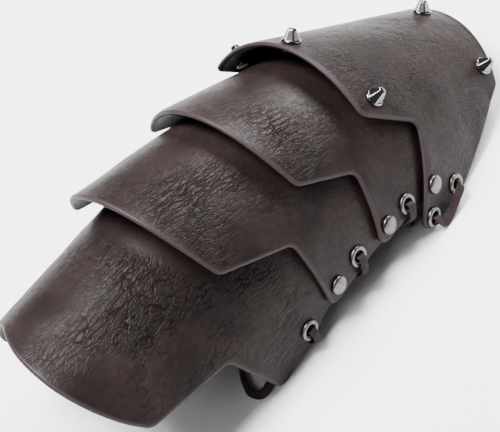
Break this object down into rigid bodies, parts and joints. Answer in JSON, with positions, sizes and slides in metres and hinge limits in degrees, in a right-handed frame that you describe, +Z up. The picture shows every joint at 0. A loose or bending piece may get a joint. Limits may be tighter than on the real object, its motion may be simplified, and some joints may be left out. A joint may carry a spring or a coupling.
{
  "type": "leather bracer",
  "caption": "Forearm bracer of overlapping formed leather lames riveted at the sides, laced under the arm, with blunt metal spikes on the cuff.",
  "frame": {"origin": "middle of the bounding box at the surface that the bracer rests on", "axes": "+X from the hand towards the elbow, +Y across the arm, +Z up"},
  "size_m": [0.2902, 0.1478, 0.1041],
  "materials": {
    "leather": "dark brown formed leather with a crinkled, slightly glossy grain and painted edges",
    "lace": "matt purple-brown flat leather lace",
    "spike": "polished nickel",
    "fitting": "aged silver"
  },
  "bodies": {
    "root": {"hand_lame": "leather", "wrist_lame": "leather", "mid_lame": "leather", "cuff": "leather", "rivet_wrist_near": "fitting", "rivet_wrist_far": "fitting", "rivet_mid_near": "fitting", "rivet_mid_far": "fitting", "rivet_cuff_near": "fitting", "rivet_cuff_far": "fitting", "eyelet_hand_near": "fitting", "eyelet_hand_far": "fitting", "eyelet_wrist_near": "fitting", "eyelet_wrist_far": "fitting", "eyelet_mid_near": "fitting", "eyelet_mid_far": "fitting", "eyelet_cuff_front_near": "fitting", "eyelet_cuff_front_far": "fitting", "eyelet_cuff_rear_near": "fitting", "eyelet_cuff_rear_far": "fitting", "spike_crown_front": "spike", "spike_crown_rear": "spike", "spike_near_front": "spike", "spike_near_rear": "spike", "spike_far_front": "spike", "spike_far_rear": "spike", "lace": "lace"}
  },
  "joints": []
}
